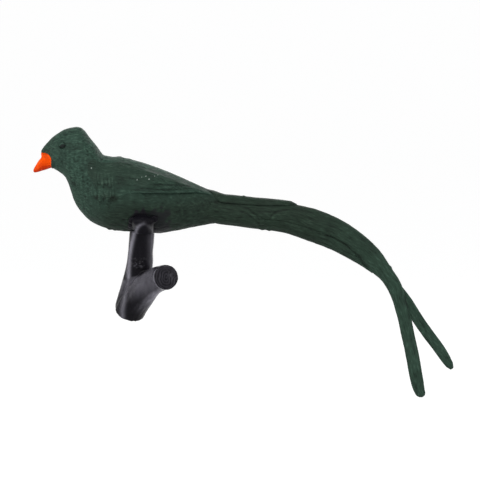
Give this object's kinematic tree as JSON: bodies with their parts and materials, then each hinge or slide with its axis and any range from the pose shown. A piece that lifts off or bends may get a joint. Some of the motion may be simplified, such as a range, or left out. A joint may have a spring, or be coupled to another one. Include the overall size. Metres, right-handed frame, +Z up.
{
  "type": "perched bird figure",
  "caption": "Painted long-tailed bird figure on a short forked branch, with folded wings, layered covert feathers, a forked plume tail and a flat sawn branch end to fix it by.",
  "frame": {"origin": "middle of the flat sawn lower end of the branch, where the figure is fixed", "axes": "+Z up, +X from the face to the tail tips, +Y towards the bird's right side; the picture looks along +Y"},
  "size_m": [0.1263, 0.0237, 0.0818],
  "materials": {
    "green_skin": "matte dark green paint over moulded feather relief",
    "wing_green": "matte dark green paint, slightly deeper",
    "orange_bill": "semi-gloss orange paint",
    "eye_black": "gloss black dot of paint",
    "branch_black": "glossy black paint over moulded bark"
  },
  "bodies": {
    "root": {"body": "green_skin", "bill": "orange_bill", "left_eye": "eye_black", "right_eye": "eye_black", "left_wing": "wing_green", "right_wing": "wing_green", "top_covert": "green_skin", "left_covert": "green_skin", "right_covert": "green_skin", "left_plume": "green_skin", "right_plume": "green_skin", "under_plume": "wing_green", "perch_branch": "branch_black", "left_foot": "branch_black", "right_foot": "branch_black"}
  },
  "joints": []
}
